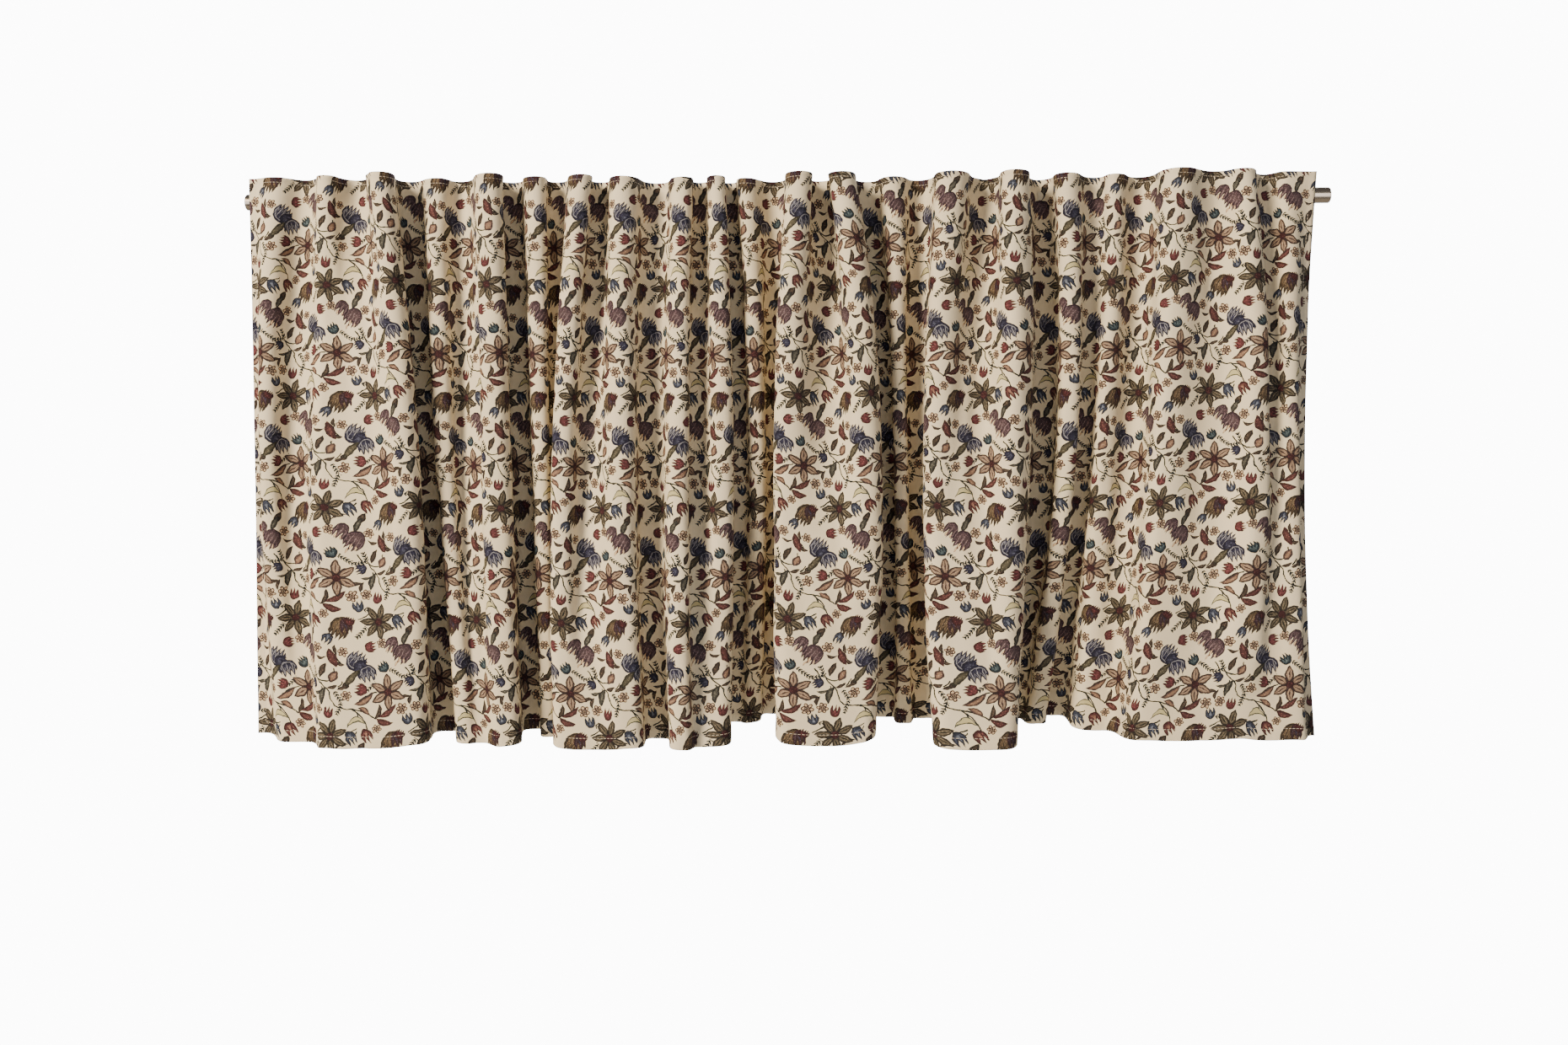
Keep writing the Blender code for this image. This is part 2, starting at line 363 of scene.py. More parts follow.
def baking_map(across, down, on_back):
    """Place on the baking map of every corner of the sheet's four-sided faces."""
    middle = np.repeat(across.reshape(-1, 4).mean(axis=1), 4)
    half = FLAT_WIDTH / 2
    spots = np.zeros((len(across), 2))
    for is_back in (False, True):
        height = REVERSE_STRIP if is_back else FACE_STRIP
        start = 2 * (FACE_STRIP + STRIP_GAP) if is_back else 0.0
        for is_right in (False, True):
            here = (np.repeat(on_back, 4) == is_back) & ((middle > half) == is_right)
            u = (across[here] - half * is_right) / half
            v = start + (height + STRIP_GAP) * is_right + down[here] / CLOTH_DROP * height
            spots[here] = np.column_stack((u, v))
    return MAP_BORDER + (1 - 2 * MAP_BORDER) * spots


def make_cloth(face_look, back_look):
    """The sheet as one closed thin shell: printed face, reverse and turned edges."""
    places, downs, front, back, normals = cloth_surfaces()
    rows, columns = len(downs), len(places)
    count = rows * columns
    index = np.arange(count).reshape(rows, columns)
    upper_left, upper_right = index[:-1, :-1].ravel(), index[:-1, 1:].ravel()
    lower_left, lower_right = index[1:, :-1].ravel(), index[1:, 1:].ravel()
    front_faces = np.column_stack((upper_left, lower_left, lower_right, upper_right))
    back_faces = np.column_stack((upper_left, upper_right, lower_right, lower_left)) + count
    border = np.concatenate((index[0, :-1], index[:-1, -1], index[-1, :0:-1], index[:0:-1, 0]))
    following = np.roll(border, -1)
    edge_faces = np.column_stack((border, following, following + count, border + count))
    faces = np.concatenate((front_faces, edge_faces, back_faces))
    points = np.concatenate((front.reshape(-1, 3), back.reshape(-1, 3)))
    looks = (face_look, back_look)
    cloth = new_object("valance_cloth_sewn", points.tolist(), faces.tolist(), looks)
    mesh = cloth.data
    on_back = np.arange(len(faces)) >= len(front_faces) + len(edge_faces)
    mesh.polygons.foreach_set("material_index", on_back.astype(np.int32))

    corners = faces.ravel() % count
    across = np.tile(places * MM, rows)[corners]
    down = np.repeat(downs * MM, columns)[corners]
    flat = mesh.uv_layers.new(name="flat_cloth")
    flat.data.foreach_set("uv", np.column_stack((across, down)).ravel())
    bake = mesh.uv_layers.new(name="OFBake")
    bake.data.foreach_set("uv", baking_map(across, down, on_back).ravel())
    return cloth, (places, downs, front, back, normals)


# ---------------------------------------------------------------- stitches
STITCH_PITCH = 3.3  # mm
STITCH_LENGTH = 2.5  # mm
THREAD_WIDTH = 0.5  # mm
THREAD_HEIGHT = 0.8  # of its width, as it is pressed flat
THREAD_END = 0.2  # width at a stitch's two ends, as a share
STITCH_SIDES = 6
STITCH_RINGS = (-1.0, -0.8, 0.0, 0.8, 1.0)  # along the stitch, as shares of half its length


def sample(grid, places, downs, across, down):
    """Point of a grid of values at a place on the cloth, from its four neighbours."""
    column = np.clip(np.searchsorted(places, across) - 1, 0, len(places) - 2)
    row = np.clip(np.searchsorted(downs, down) - 1, 0, len(downs) - 2)
    a = ((across - places[column]) / (places[column + 1] - places[column]))[:, None]
    d = ((down - downs[row]) / (downs[row + 1] - downs[row]))[:, None]
    upper = grid[row, column] * (1 - a) + grid[row, column + 1] * a
    lower = grid[row + 1, column] * (1 - a) + grid[row + 1, column + 1] * a
    return upper * (1 - d) + lower * d


def stitch_rows(places, downs):
    """Ends of every stitch on the flat cloth, in mm, for the four sewn hems."""
    width, drop = places[-1], downs[-1]
    half = STITCH_LENGTH / 2
    along = np.arange(SIDE_STITCH + half, width - SIDE_STITCH - half, STITCH_PITCH)
    upright = np.arange(TOP_STITCH + 2 * half, drop - BASE_STITCH - half, STITCH_PITCH)
    starts, ends = [], []
    for line in (TOP_STITCH, drop - BASE_STITCH):
        level = np.full(len(along), line)
        starts.append(np.column_stack((along - half, level)))
        ends.append(np.column_stack((along + half, level)))
    for line in (SIDE_STITCH, width - SIDE_STITCH):
        level = np.full(len(upright), line)
        starts.append(np.column_stack((level, upright - half)))
        ends.append(np.column_stack((level, upright + half)))
    return np.concatenate(starts), np.concatenate(ends)


def make_stitches(surfaces, thread):
    """Lockstitches on both faces of the hems: short rounded threads, half sunk in the cloth."""
    places, downs, front, back, normals = surfaces
    starts, ends = stitch_rows(places, downs)
    points = []
    for surface, outward in ((front, 1.0), (back, -1.0)):
        first = sample(surface, places, downs, starts[:, 0], starts[:, 1])
        last = sample(surface, places, downs, ends[:, 0], ends[:, 1])
        out = outward * sample(normals, places, downs, starts[:, 0], starts[:, 1])
        middle = (first + last) / 2
        lengthwise = (last - first) / 2
        side = np.cross(lengthwise, out)
        side /= np.linalg.norm(side, axis=1, keepdims=True)
        for ring in STITCH_RINGS:
            swell = max(sqrt(1 - abs(ring) ** 3), THREAD_END) * THREAD_WIDTH * MM / 2
            for turn in 2 * pi * np.arange(STITCH_SIDES) / STITCH_SIDES:
                sideways = side * (cos(turn) * swell)
                upwards = out * (sin(turn) * swell * THREAD_HEIGHT)
                points.append(middle + lengthwise * ring + sideways + upwards)

    sides = STITCH_SIDES
    total = len(STITCH_RINGS) * sides
    faces = []
    for ring in range(0, total - sides, sides):
        for turn in range(sides):
            after = (turn + 1) % sides
            faces.append((ring + turn, ring + after, ring + sides + after, ring + sides + turn))
    faces.append(tuple(range(sides - 1, -1, -1)))
    faces.append(tuple(range(total - sides, total)))
    count = len(starts)
    polygons = []
    for offset in (0, total):
        for corners in faces:
            for stitch in range(count):
                polygons.append(tuple((offset + corner) * count + stitch for corner in corners))
    verts = np.array(points).reshape(-1, 3)
    return new_object("hem_stitches", verts.tolist(), polygons, (thread,))


# ---------------------------------------------------------------- tabs
TAB_STEPS = 64
TAB_CORNER = 0.32  # mm, rounding of the tape's edges


def make_tab(number, valley_x, tape):
    """A loop of woven tape round the rod, with rounded edges and a lightly ribbed face."""
    inner = ROD_DIAMETER / 2 + SEAT_GAP
    outer = inner + TAB_THICKNESS
    half, corner = TAB_WIDTH / 2, TAB_CORNER * MM
    profile = []
    for x_side, r_side, start in ((1, 1, 0), (-1, 1, 90), (-1, 0, 180), (1, 0, 270)):
        centre_x = x_side * (half - corner)
        centre_r = outer - corner if r_side else inner + corner
        for angle in (start, start + 30, start + 60, start + 90):
            turn = radians(angle)
            profile.append((centre_x + corner * cos(turn), centre_r + corner * sin(turn)))
    points, faces = [], []
    size = len(profile)
    for step in range(TAB_STEPS):
        turn = 2 * pi * step / TAB_STEPS
        for x, radius in profile:
            points.append((valley_x + x, -radius * cos(turn), radius * sin(turn)))
        following = (step + 1) % TAB_STEPS
        for corner_number in range(size):
            after = (corner_number + 1) % size
            faces.append((
                step * size + corner_number,
                step * size + after,
                following * size + after,
                following * size + corner_number,
            ))
    return new_object(f"tape_tab_{number:02d}", points, faces, (tape,))


# ---------------------------------------------------------------- materials
def linear(hex_colour):
    """Linear red, green, blue and 1 from an sRGB hex value."""
    values = [int(hex_colour[i:i + 2], 16) / 255 for i in (1, 3, 5)]
    return (*[v / 12.92 if v <= 0.04045 else ((v + 0.055) / 1.055) ** 2.4 for v in values], 1.0)


def add(tree, kind, inputs, output=0, **settings):
    """Add a node with its settings; each input is a value or a link.  Gives one of its outputs."""
    node = tree.nodes.new(kind if kind.startswith("NodeGroup") else "ShaderNode" + kind)
    for name, value in settings.items():
        setattr(node, name, value)
    named = inputs.items() if isinstance(inputs, dict) else enumerate(inputs)
    for name, value in named:
        if isinstance(value, bpy.types.NodeSocket):
            tree.links.new(value, node.inputs[name])
        else:
            node.inputs[name].default_value = value
    return node.outputs[output]


def new_material(name):
    """A material with its node tree and its main shader."""
    made = bpy.data.materials.new(name)
    made.use_nodes = True
    return made, made.node_tree, made.node_tree.nodes["Principled BSDF"]


# The print's repeat: a brick lattice, with every row set half a repeat aside.  Sizes are in mm.
REPEAT_ACROSS = 90.0
REPEAT_DOWN = 107.0
REPEAT_START = (70.4, 64.7)  # the pink star's place on the flat cloth

# Inks of the print, each from its middle to its edge.
CREAM, DEEP_CREAM = "#e3d4b8", "#d9c8a8"
STAR_PINK = ((0.0, "#a08a75"), (0.4, "#8f7864"), (0.6, "#715b4c"), (0.7, "#2d2220"))
STAR_GREEN = ((0.0, "#6f6350"), (0.4, "#5c5142"), (0.6, "#40392e"), (0.72, "#241f1a"))
PINK_VEIN = ((0.0, "#43322c"), (0.9, "#43322c"))
GREEN_VEIN = ((0.0, "#1f1e18"), (0.9, "#25241d"))
MAROON = ((0.0, "#361d1d"), (0.6, "#361d1d"), (0.85, "#2a1719"))
ROSETTE = ((0.0, "#c9b08f"), (0.22, "#bb9d80"), (0.32, "#33211f"), (0.95, "#33211f"))
RED = ((0.0, "#5e3536"), (0.35, "#5a3133"), (0.5, "#482627"), (0.74, "#452425"), (0.84, "#2c181a"))
DARK_RED = ((0.0, "#553532"), (0.3, "#553532"), (0.5, "#3d2423"), (0.8, "#3d2423"), (0.9, "#2a1619"))
BLUE = ((0.0, "#70737d"), (0.2, "#5b5f6c"), (0.38, "#303340"), (0.66, "#2b2d38"), (0.8, "#191b23"))
TEAL = ((0.0, "#4c5659"), (0.28, "#414b4f"), (0.42, "#20282d"), (0.7, "#1e262b"), (0.84, "#13131a"))
NAVY = ((0.0, "#4a4a58"), (0.2, "#2a2838"), (0.46, "#1f1d2b"), (0.56, "#8c8a90"), (0.66, "#1f1d2b"))
NAVY_PLAIN = ((0.0, "#474856"), (0.35, "#2a2838"), (0.8, "#1a1824"))
PLUM = ((0.0, "#564547"), (0.4, "#443437"), (0.66, "#413135"), (0.8, "#291c22"))
THISTLE = ((0.0, "#2a2838"), (0.35, "#3f2f33"), (0.6, "#2a1d22"), (0.8, "#33201f"))
THISTLE_CROWN = ((0.0, "#442224"), (0.5, "#361d1d"), (0.8, "#2a1719"))
SLIT = ((0.0, "#d6c093"), (0.6, "#c49c7e"), (0.9, "#33262b"))
OCHRE = ((0.0, "#655543"), (0.45, "#5d4c39"), (0.62, "#453829"), (0.76, "#2c241d"))
BRONZE = ((0.0, "#564f40"), (0.4, "#4a4436"), (0.72, "#29261f"))
BROWN = ((0.0, "#463a30"), (0.4, "#3d322a"), (0.62, "#231d1a"))
GREY_LEAF = ((0.0, "#57534a"), (0.3, "#45423a"), (0.7, "#23211e"))
LEAF_LINE = ((0.0, "#b9ac80"), (0.6, "#b9ac80"), (0.7, "#3a3d34"), (0.95, "#3a3d34"))
LEAF_BLUSH = ((0.0, "#8a6e5b"), (0.4, "#7a5e4c"), (0.6, "#4b3935"), (0.8, "#352827"))
SPRIG = ((0.0, "#131717"), (0.9, "#131717"))
STEM = ((0.0, "#21221c"), (0.9, "#21221c"))
BELL = ((0.0, "#8b6756"), (0.4, "#553532"), (0.6, "#442224"), (0.82, "#2a1719"))

# Motifs of one repeat: places are in mm right of and below the pink star, turns in degrees
# clockwise from the right, sizes are half lengths and half widths in mm.
STEMS = (
    # from        to          bow to the right of its way
    (25, -15, 32, -6, 0.6), (32, -6, 37, 0, -0.4), (37, 0, 39.5, 9, 0.9), (39.5, 9, 47.5, 14.2, 1.4),
    (47.5, 14.2, 56.6, 15.6, 0.6), (26.5, -13, 37.8, -10.7, 1.6), (56.6, 15.6, 62.7, 26, -2.0),
    (56.6, 15.6, 70.9, 35, -2.6), (-27, 8.5, -10, 0, -1.6), (27.4, 33.2, 17.4, 39.4, -0.6),
    (44.6, 35.6, 61.5, 33.5, 1.8), (16.2, -21.6, 22.7, -9.9, -0.8), (41.7, -22, 41.7, -19, 0.3),
    (49.1, -10.7, 44.5, -4.5, -0.6), (-33.4, 15.6, -11.6, 25.2, -1.6), (43.1, -38, 50, -25.8, 2.4),
    (30.8, 3, 30.2, -5, 0.8), (61, 36, 56.5, 41, -0.8),
)
DARK_LEAVES = (
    # place       turn  half length, half width, bow
    (31.8, -20.3, 116, 6.8, 2.5, 0.10), (15.7, 6.8, -14, 5.8, 1.5, -0.35),
    (20.3, 9.0, 103, 4.8, 1.6, 0.25), (30.7, -33.1, 8, 4.8, 1.3, 0.45),
    (46.9, -26.8, 17, 3.8, 1.5, 0.3), (39.9, -5.0, -20, 4.6, 1.5, 0.2),
    (47.6, -4.4, -30, 3.8, 1.4, 0.2), (43.1, -39.5, 80, 4.2, 1.5, 0.3),
    (51.6, -6.6, 128, 3.6, 2.7, 0.0), (20.6, -55.2, 118, 6.0, 2.9, 0.1),
    (-9.6, 18.2, -72, 7.2, 2.0, 0.3), (47, 49, 160, 6.2, 1.4, 0.35),
)
GREY_LEAVES = (
    (30.7, 3.4, 107, 8.2, 2.9, 0.22), (17.4, -49.5, 116, 7.0, 2.6, 0.1),
    (24.2, 0.2, -10, 4.8, 1.2, 0.3),
)
SLITS = (
    (8.2, -25.9, 120, 2.6, 0.8, 0.1), (11.6, -29.6, 112, 3.0, 0.9, 0.1),
    (15.6, -27.2, 100, 2.4, 0.7, 0.1), (-0.4, -39.9, 122, 2.6, 0.8, 0.1),
    (3.6, -38.4, 118, 2.2, 0.7, 0.1),
)
RED_LEAVES = (
    (-0.6, 18.4, -32, 9.2, 2.5, 0.2), (-4.0, 27.6, 17, 7.6, 2.8, 0.25),
    (40.7, -31.9, 68, 8.6, 3.4, 0.1),
)
PALE_LEAVES = (
    (60.4, 28.3, -6, 8.2, 2.6, -0.75),
)
BLUSH_LEAVES = (
    (67.9, 6.8, -32, 9.8, 2.7, 0.25), (67.9, 17.3, 32, 6.2, 2.2, -0.2),
)
SPRIGS = (
    # from        to
    (1.6, -21.4, 14.6, -12.3), (14.6, -12.3, 25.1, -15.2), (25.1, -15.2, 21.0, -24.0),
    (-10.9, -8.6, -21.3, -0.5), (41.7, -0.5, 47.6, 9.0), (47.6, 9.0, 43.2, 21.4),
    (22.1, 29.8, 28.6, 31.2), (25.1, 46.0, 15.8, 56.8),
)
ROSETTES = (
    # place      radius
    (27.0, -41.7, 5.2), (49.6, -37.8, 4.7), (84.0, -45.7, 4.7), (52.0, 3.1, 5.2),
    (12.3, 17.1, 5.5), (24.8, 16.0, 5.2), (-10.8, 34.0, 4.5),
)
CUPS = (
    # place       turn  half length, half width, petals, inks
    (64.5, -2.7, 190, 6.0, 5.6, 4, RED),
    (35.6, 18.6, -80, 6.2, 4.6, 3, RED),
    (73.8, -42.5, -8, 5.8, 5.2, 4, RED),
    (36.6, -49.6, 118, 6.2, 4.6, 3, BLUE),
    (17.4, 26.5, -105, 5.8, 5.0, 3, BLUE),
    (-4.4, -23.8, -125, 5.8, 5.4, 4, TEAL),
    (19.7, -7.4, 150, 5.4, 4.8, 4, NAVY_PLAIN),
    (56.0, 42.8, 62, 8.2, 5.2, 3, BLUE),
    (-19.2, 40.7, 58, 7.4, 5.4, 3, BELL),
    (3.6, -43.4, 122, 8.8, 6.4, 3, PLUM),
    (14.2, -34.2, 122, 10.4, 9.0, 5, PLUM),
    (61.2, -29.5, -58, 10.2, 8.8, 5, NAVY),
    (65.8, -23.2, 20, 7.4, 6.6, 4, NAVY_PLAIN),
    (70.9, -17.0, 75, 8.6, 8.8, 4, NAVY),
    (2.0, 47.6, 112, 11.8, 8.6, 5, OCHRE),
    (7.6, 45.6, 82, 8.4, 5.6, 3, THISTLE),
    (10.4, 40.4, -62, 4.6, 4.8, 5, THISTLE_CROWN),
)
STROKES = {
    NAVY: ((0.0, "#b9b3ab"), (0.6, "#6a6872")),
    PLUM: ((0.0, "#8f7d78"), (0.6, "#5e4c50")),
    OCHRE: ((0.0, "#2c241d"), (0.6, "#2c241d")),
}
STARS = (
    # place, turn, radius, petals, inks of petals and veins
    (0, 0, 27, 17.0, 6, STAR_PINK, PINK_VEIN),
    (36, 41.4, 27, 17.0, 7, STAR_GREEN, GREEN_VEIN),
)
NAVY_STALK = (57.2, -13.4, 130, 9.5, 3.0, 0.05)
BUD = (40.9, -14.5, -60, 5.6, 3.6, 0.0)

# Sizes that motifs of one kind share.
STEM_WIDTH = 0.6  # mm, half the width of a stem
LEAF_SPREAD = (1.1, 1.15)  # share of a leaf's half sizes at which its ink ends
LEAFLET_PITCH = 1.35  # mm along a sprig
STAR_PETAL = (0.56, 0.47, 1.5)  # middle and half length, then the width that all petals share
STAR_EYE, ROSETTE_EYE = 4.6, 3.4  # radius of the flower for one of its eye
ROSETTE_PETAL = (6, 0.66, 0.36, 0.36)  # number, middle, half length and half width
TOOTH_DEPTH = 3.0  # of a cup's rim, in half lengths for each half width
STROKE_SLIMNESS, STROKE_SHORTNESS = 5.0, 1.7  # of the strokes on a cup


class Print:
    """Lays the motifs of the repeat one over another in a node tree."""

    def __init__(self, tree, flat_cloth):
        self.tree = tree
        self.wraps = {}
        self.colour = None
        start_x, start_y = REPEAT_START
        across = (1 / REPEAT_ACROSS / MM, -1 / (2 * REPEAT_DOWN * MM), 0)
        down = (0, 1 / REPEAT_DOWN / MM, 0)
        start = (start_x / REPEAT_ACROSS - start_y / (2 * REPEAT_DOWN), start_y / REPEAT_DOWN, 0)
        s = add(tree, "VectorMath", (flat_cloth, across), 1, operation="DOT_PRODUCT")
        t = add(tree, "VectorMath", (flat_cloth, down), 1, operation="DOT_PRODUCT")
        both = add(tree, "CombineXYZ", (s, t, 1.0))
        self.cell = add(tree, "VectorMath", (both, start), operation="SUBTRACT")

    def placed(self, x, y, turn, half_length, half_width):
        """Values from -1 to 1 along and across a motif of this place, turn and half sizes."""
        t = y / REPEAT_DOWN
        s = (x - t * REPEAT_ACROSS / 2) / REPEAT_ACROSS
        near = (round(4 * s) / 4, round(4 * t) / 4)
        if near not in self.wraps:
            low = (near[0] - 0.5, near[1] - 0.5, 0.0)
            high = (near[0] + 0.5, near[1] + 0.5, 2.0)
            wrapped = add(self.tree, "VectorMath", (self.cell, high, low), operation="WRAP")
            self.wraps[near] = wrapped
        along = (cos(radians(turn)), sin(radians(turn)), half_length)
        beside = (-sin(radians(turn)), cos(radians(turn)), half_width)
        found = []
        for right, below, size in (along, beside):
            weight = REPEAT_ACROSS * right / size
            slant = (REPEAT_ACROSS / 2 * right + REPEAT_DOWN * below) / size
            row = (weight, slant, -weight * s - slant * t)
            dotted = (self.wraps[near], row)
            found.append(add(self.tree, "VectorMath", dotted, 1, operation="DOT_PRODUCT"))
        return found

    def between(self, start_x, start_y, end_x, end_y, half_width):
        """Values along and across a strip that runs from one point to another."""
        length = hypot(end_x - start_x, end_y - start_y)
        turn = atan2(end_y - start_y, end_x - start_x) * 180 / pi
        middle = ((start_x + end_x) / 2, (start_y + end_y) / 2)
        return self.placed(*middle, turn, length / 2, half_width)

    def nearest(self, measures):
        """One measure for motifs of the same inks: under 1 inside any of them."""
        found = measures[0]
        for measure in measures[1:]:
            found = add(self.tree, "Math", (found, measure), operation="MINIMUM")
        return found

    def lay(self, measure, inks):
        """Lay a motif over the print, in inks that run from its middle (0) to its edge (1)."""
        colour = add(self.tree, "ValToRGB", (measure,))
        ramp = colour.node.color_ramp
        ramp.elements[1].position = 1.0
        while len(ramp.elements) < len(inks) + 2:
            ramp.elements.new(0.5)
        stops = [*inks, (0.97, inks[-1][1]), (1.0, inks[-1][1])]
        for element, (position, ink) in zip(ramp.elements, stops):
            element.position = position
            element.color = linear(ink)
        ramp.elements[len(stops) - 1].color[3] = 0.0
        mask = colour.node.outputs[1]
        layers = {0: mask, 6: self.colour, 7: colour}
        self.colour = add(self.tree, "Mix", layers, 2, data_type="RGBA")

    def stem(self, start_x, start_y, end_x, end_y, bow):
        """A thin bowed line."""
        tree = self.tree
        x, y = self.between(start_x, start_y, end_x, end_y, STEM_WIDTH)
        square = add(tree, "Math", (x, x), operation="MULTIPLY")
        bulge = bow / STEM_WIDTH
        bent = add(tree, "Math", (square, -bulge, bulge), operation="MULTIPLY_ADD")
        off = add(tree, "Math", (y, bent), operation="SUBTRACT")
        thin = add(tree, "Math", (off,), operation="ABSOLUTE")
        return add(tree, "Math", (thin, square), operation="MAXIMUM")

    def leaf(self, x, y, turn, half_length, half_width, bow):
        """A leaf with two pointed ends, bent sideways by a share of its half length."""
        tree = self.tree
        long, wide = LEAF_SPREAD
        along, beside = self.placed(x, y, turn, long * half_length, wide * half_width)
        square = add(tree, "Math", (along, along), operation="MULTIPLY")
        bent = bow * half_length / half_width
        off = add(tree, "Math", (square, bent, beside), operation="MULTIPLY_ADD")
        shift = add(tree, "Math", (off, bent / 2), operation="SUBTRACT")
        thin = add(tree, "Math", (shift,), operation="ABSOLUTE")
        return add(tree, "Math", (thin, square), operation="ADD")

    def sprig(self, start_x, start_y, end_x, end_y):
        """A thread-thin stalk with pairs of tiny slanting leaves."""
        tree = self.tree
        length = hypot(end_x - start_x, end_y - start_y)
        x, y = self.between(start_x, start_y, end_x, end_y, 1.0)
        side = add(tree, "Math", (y,), operation="ABSOLUTE")
        along = add(tree, "Math", (x, length / 2), operation="MULTIPLY")
        slant = add(tree, "Math", (side, -0.9, along), operation="MULTIPLY_ADD")
        step = add(tree, "Math", (slant, LEAFLET_PITCH, -LEAFLET_PITCH), operation="WRAP")
        leaf_x = add(tree, "Math", (step, 1.2), operation="MULTIPLY")
        leaf_y = add(tree, "Math", (side, 0.9, -0.95), operation="MULTIPLY_ADD")
        square = add(tree, "Math", (leaf_x, leaf_x), operation="MULTIPLY")
        leaflet = add(tree, "Math", (leaf_y, leaf_y, square), operation="MULTIPLY_ADD")
        stalk = add(tree, "Math", (side, 2.6), operation="MULTIPLY")
        either = add(tree, "Math", (leaflet, stalk), operation="MINIMUM")
        reach = add(tree, "Math", (x,), operation="ABSOLUTE")
        return add(tree, "Math", (either, reach), operation="MAXIMUM")

    def petals(self, x, y, turn, radius, number, middle, half_length, half_width):
        """Values from -1 to 1 along and across each petal of a ring, then the distance from its
        middle; sizes are shares of the radius."""
        tree = self.tree
        along, beside = self.placed(x, y, turn, radius, radius)
        square = add(tree, "Math", (along, along), operation="MULTIPLY")
        squares = add(tree, "Math", (beside, beside, square), operation="MULTIPLY_ADD")
        distance = add(tree, "Math", (squares,), operation="SQRT")
        angle = add(tree, "Math", (beside, along), operation="ARCTAN2")
        petal = add(tree, "Math", (angle, pi / number, -pi / number), operation="WRAP")
        off = add(tree, "Math", (petal, distance), operation="MULTIPLY")
        wide = add(tree, "Math", (off, 1 / half_width), operation="MULTIPLY")
        out = (distance, 1 / half_length, -middle / half_length)
        long = add(tree, "Math", out, operation="MULTIPLY_ADD")
        return long, wide, distance

    def star(self, x, y, turn, radius, number):
        """Pointed petals of a star, their middle veins and its eye."""
        tree = self.tree
        middle, half_length, shared = STAR_PETAL
        shape = (number, middle, half_length, shared / number)
        long, wide, distance = self.petals(x, y, turn, radius, *shape)
        side = add(tree, "Math", (wide,), operation="ABSOLUTE")
        petal = add(tree, "Math", (long, long, side), operation="MULTIPLY_ADD")
        reach = add(tree, "Math", (long,), operation="ABSOLUTE")
        thin = add(tree, "Math", (side, 5.5), operation="MULTIPLY")
        long_vein = add(tree, "Math", (reach, 1.25, thin), operation="MULTIPLY_ADD")
        eye = add(tree, "Math", (distance, STAR_EYE), operation="MULTIPLY")
        return petal, long_vein, eye

    def rosette(self, x, y, radius):
        """A small flower of six round petals round an eye."""
        long, wide, distance = self.petals(x, y, 10, radius, *ROSETTE_PETAL)
        square = add(self.tree, "Math", (long, long), operation="MULTIPLY")
        petal = add(self.tree, "Math", (wide, wide, square), operation="MULTIPLY_ADD")
        eye = add(self.tree, "Math", (distance, ROSETTE_EYE), operation="MULTIPLY")
        return self.nearest([petal, eye])

    def cup(self, x, y, turn, half_length, half_width, points):
        """A cup-shaped flower seen from the side, with a round base and a toothed rim, and the
        strokes down the middle of its petals."""
        tree = self.tree
        along, beside = self.placed(x, y, turn, half_length, half_width)
        square = add(tree, "Math", (along, along), operation="MULTIPLY")
        round_base = add(tree, "Math", (beside, beside, square), operation="MULTIPLY_ADD")
        tooth = 1 / points
        shifted = add(tree, "Math", (beside, 1 - points % 2), operation="ADD")
        teeth = add(tree, "Math", (shifted, tooth), operation="PINGPONG")
        rim = add(tree, "Math", (teeth, TOOTH_DEPTH, along), operation="MULTIPLY_ADD")
        outline = add(tree, "Math", (round_base, rim), operation="MAXIMUM")
        thin = add(tree, "Math", (teeth, STROKE_SLIMNESS * points), operation="MULTIPLY")
        reach = add(tree, "Math", (square, STROKE_SHORTNESS, thin), operation="MULTIPLY_ADD")
        stroke = add(tree, "Math", (reach, round_base), operation="MAXIMUM")
        return outline, stroke

    def draw(self, ground):
        """The whole repeat over the ground colour."""
        self.colour = ground
        self.lay(self.nearest([self.stem(*row) for row in STEMS]), STEM)
        for leaves, inks in (
            (DARK_LEAVES, BROWN),
            (GREY_LEAVES, GREY_LEAF),
            (RED_LEAVES, DARK_RED),
            (PALE_LEAVES, LEAF_LINE),
            (BLUSH_LEAVES, LEAF_BLUSH),
        ):
            self.lay(self.nearest([self.leaf(*row) for row in leaves]), inks)
        self.lay(self.nearest([self.sprig(*row) for row in SPRIGS]), SPRIG)
        self.lay(self.nearest([self.rosette(*row) for row in ROSETTES]), ROSETTE)
        for *shape, inks in CUPS:
            cup, stroke = self.cup(*shape)
            self.lay(cup, inks)
            if inks in STROKES:
                self.lay(stroke, STROKES[inks])
        self.lay(self.leaf(*NAVY_STALK), BRONZE)
        self.lay(self.nearest([self.leaf(*row) for row in SLITS]), SLIT)
        self.lay(self.leaf(*BUD), LEAF_BLUSH)
        for *shape, inks, vein_ink in STARS:
            petal, vein, eye = self.star(*shape)
            self.lay(petal, inks)
            self.lay(vein, vein_ink)
            self.lay(eye, MAROON)
        return self.colour


def flower_print():
    """Node group of the print: a place on the flat cloth and the ground's colour give a colour."""
    group = bpy.data.node_groups.new("flower_print", "ShaderNodeTree")
    group.interface.new_socket("Place", in_out="INPUT", socket_type="NodeSocketVector")
    group.interface.new_socket("Ground", in_out="INPUT", socket_type="NodeSocketColor")
    group.interface.new_socket("Colour", in_out="OUTPUT", socket_type="NodeSocketColor")
    place = add(group, "NodeGroupInput", ())
    ground = place.node.outputs["Ground"]
    result = group.nodes.new("NodeGroupOutput")
    group.links.new(Print(group, place).draw(ground), result.inputs["Colour"])
    return group


